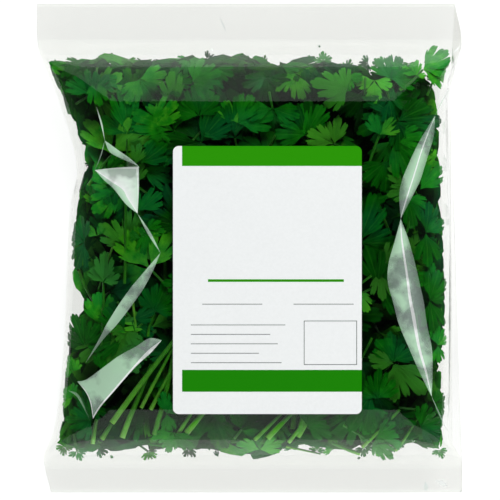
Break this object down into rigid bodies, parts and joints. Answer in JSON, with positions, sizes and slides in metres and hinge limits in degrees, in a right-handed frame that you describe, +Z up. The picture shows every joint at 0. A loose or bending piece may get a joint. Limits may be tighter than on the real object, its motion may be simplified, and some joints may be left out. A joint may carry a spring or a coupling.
{
  "type": "sealed film bag of cut flat-leaf parsley",
  "caption": "Clear pillow bag, welded at both ends and filled with loose cut sprigs of flat-leaf parsley, with a blank paper label on its front.",
  "frame": {"origin": "on the surface that the bag lies on, under the middle of its outline", "axes": "+X to the right of the labelled front, +Y towards the top weld, +Z up out of the labelled front"},
  "size_m": [0.23, 0.264, 0.0426],
  "materials": {
    "film": "clear glossy plastic film",
    "label_paper": "smooth coated white paper with a green band at each end",
    "parsley": "fresh leaf, soft sheen, paler underneath"
  },
  "bodies": {
    "root": {"bag_film": "film", "label": "label_paper", "sprig_1_1": "parsley", "sprig_1_2": "parsley", "sprig_1_3": "parsley", "sprig_1_4": "parsley", "sprig_1_5": "parsley", "sprig_1_6": "parsley", "sprig_1_7": "parsley", "sprig_1_8": "parsley", "sprig_1_9": "parsley", "sprig_2_1": "parsley", "sprig_2_2": "parsley", "sprig_2_3": "parsley", "sprig_2_4": "parsley", "sprig_2_5": "parsley", "sprig_2_6": "parsley", "sprig_2_7": "parsley", "sprig_2_8": "parsley", "sprig_2_9": "parsley", "sprig_3_1": "parsley", "sprig_3_2": "parsley", "sprig_3_3": "parsley", "sprig_3_4": "parsley", "sprig_3_5": "parsley", "sprig_3_6": "parsley", "sprig_3_7": "parsley", "sprig_3_8": "parsley", "sprig_3_9": "parsley", "sprig_4_1": "parsley", "sprig_4_2": "parsley", "sprig_4_3": "parsley", "sprig_4_4": "parsley", "sprig_4_5": "parsley", "sprig_4_6": "parsley", "sprig_4_7": "parsley", "sprig_4_8": "parsley", "sprig_4_9": "parsley", "sprig_5_1": "parsley", "sprig_5_2": "parsley", "sprig_5_3": "parsley", "sprig_5_4": "parsley", "sprig_5_5": "parsley", "sprig_5_6": "parsley", "sprig_5_7": "parsley", "sprig_5_8": "parsley", "sprig_5_9": "parsley", "sprig_6_1": "parsley", "sprig_6_2": "parsley", "sprig_6_3": "parsley", "sprig_6_4": "parsley", "sprig_6_5": "parsley", "sprig_6_6": "parsley", "sprig_6_7": "parsley", "sprig_6_8": "parsley", "sprig_6_9": "parsley"}
  },
  "joints": []
}
